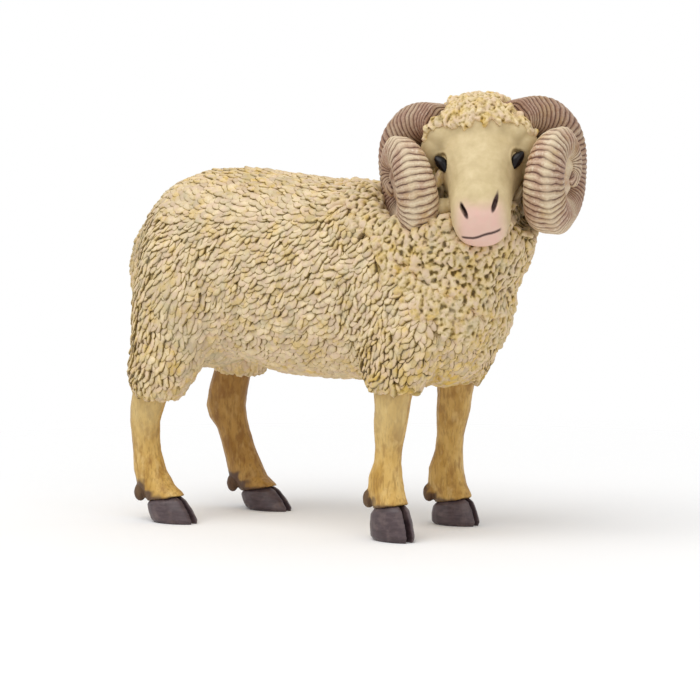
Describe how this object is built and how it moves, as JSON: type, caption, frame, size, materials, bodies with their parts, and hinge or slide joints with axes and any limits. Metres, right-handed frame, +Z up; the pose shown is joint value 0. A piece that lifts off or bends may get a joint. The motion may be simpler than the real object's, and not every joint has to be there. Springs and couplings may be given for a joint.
{
  "type": "toy farm animal figure",
  "caption": "Standing ram toy figure with ribbed spiral horns, woolly body, turned head and cloven hooves, built from separate glued pieces.",
  "frame": {"origin": "bottom centre of the bounding box, on the ground under the figure", "axes": "+X from tail to chest, +Y to the animal's left, +Z up; the head is turned to the animal's right"},
  "size_m": [0.0884, 0.0328, 0.0751],
  "materials": {
    "fleece": "matte cream paint with ochre and olive wash in the recesses",
    "face": "satin cream paint with a pink muzzle",
    "horn": "matte tan ribs with purple-brown grooves",
    "leg": "satin ochre paint with brown wash",
    "hoof": "satin dark brown",
    "eye": "glossy black"
  },
  "bodies": {
    "root": {"torso": "fleece", "neck": "fleece", "tail": "fleece", "head": "face", "right_ear": "face", "left_ear": "face", "right_horn": "horn", "left_horn": "horn", "right_eye": "eye", "left_eye": "eye", "front_right_leg": "leg", "front_left_leg": "leg", "rear_right_leg": "leg", "rear_left_leg": "leg", "front_right_hoof": "hoof", "front_left_hoof": "hoof", "rear_right_hoof": "hoof", "rear_left_hoof": "hoof"}
  },
  "joints": []
}
